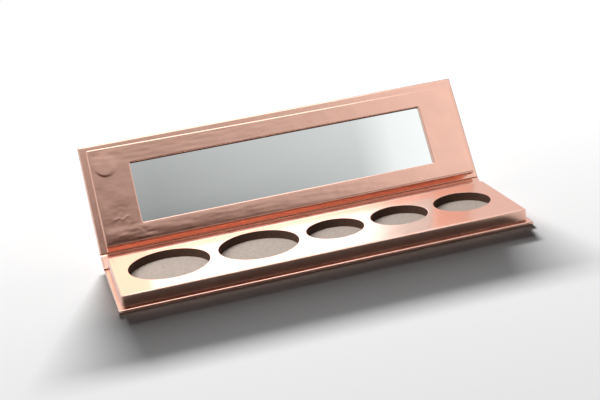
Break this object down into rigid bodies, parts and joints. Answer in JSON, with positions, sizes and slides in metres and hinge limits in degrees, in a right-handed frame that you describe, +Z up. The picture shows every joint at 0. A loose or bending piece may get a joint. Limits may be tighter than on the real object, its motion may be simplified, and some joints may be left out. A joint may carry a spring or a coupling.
{
  "type": "eyeshadow palette",
  "caption": "Slim book-style makeup palette of wrapped board: empty round pan wells in the tray, folding spine, and a framed mirror in the lid.",
  "frame": {"origin": "middle of the base board's underside, on the table", "axes": "+X along the palette to the user's right, +Y from the user towards the spine, +Z up out of the wells"},
  "size_m": [0.1904, 0.0931, 0.0515],
  "materials": {
    "rose_gold_paper": "metallic rose gold cover paper, satin gloss",
    "greyboard": "raw recycled greyboard, matt and flecked",
    "brown_board": "brown solid board, matt, dark where it is punched",
    "mirror": "silvered float glass",
    "magnet": "nickel-plated disc magnet",
    "tape": "double-sided film tape"
  },
  "bodies": {
    "base": {"base_board": "greyboard", "base_wrap": "rose_gold_paper", "base_lining": "rose_gold_paper", "rear_crease": "rose_gold_paper", "tray_floor_board": "greyboard", "tray_core_board": "brown_board", "tray_top_board": "brown_board", "tray_wrap": "rose_gold_paper", "left_tray_magnet": "magnet", "right_tray_magnet": "magnet"},
    "spine": {"spine_board": "greyboard", "spine_wrap": "rose_gold_paper", "spine_lining": "rose_gold_paper", "lid_crease": "rose_gold_paper"},
    "lid": {"lid_board": "greyboard", "lid_wrap": "rose_gold_paper", "lid_lining": "rose_gold_paper", "mirror_spacer_board": "greyboard", "mirror_frame_board": "greyboard", "mirror_frame_wrap": "rose_gold_paper", "mirror_tape": "tape", "mirror_glass": "mirror", "left_lid_magnet": "magnet", "right_lid_magnet": "magnet"}
  },
  "joints": [
    {"name": "base_fold", "type": "hinge", "parent": "base", "child": "spine", "pos_m": [0, 0.0277, 0.0009], "axis": [1, 0, 0], "range_deg": [-22, 68]},
    {"name": "lid_fold", "type": "hinge", "parent": "spine", "child": "lid", "pos_m": [0, 0.03734, 0.0048], "axis": [1, 0, 0], "range_deg": [-36.5, 53.5]}
  ]
}
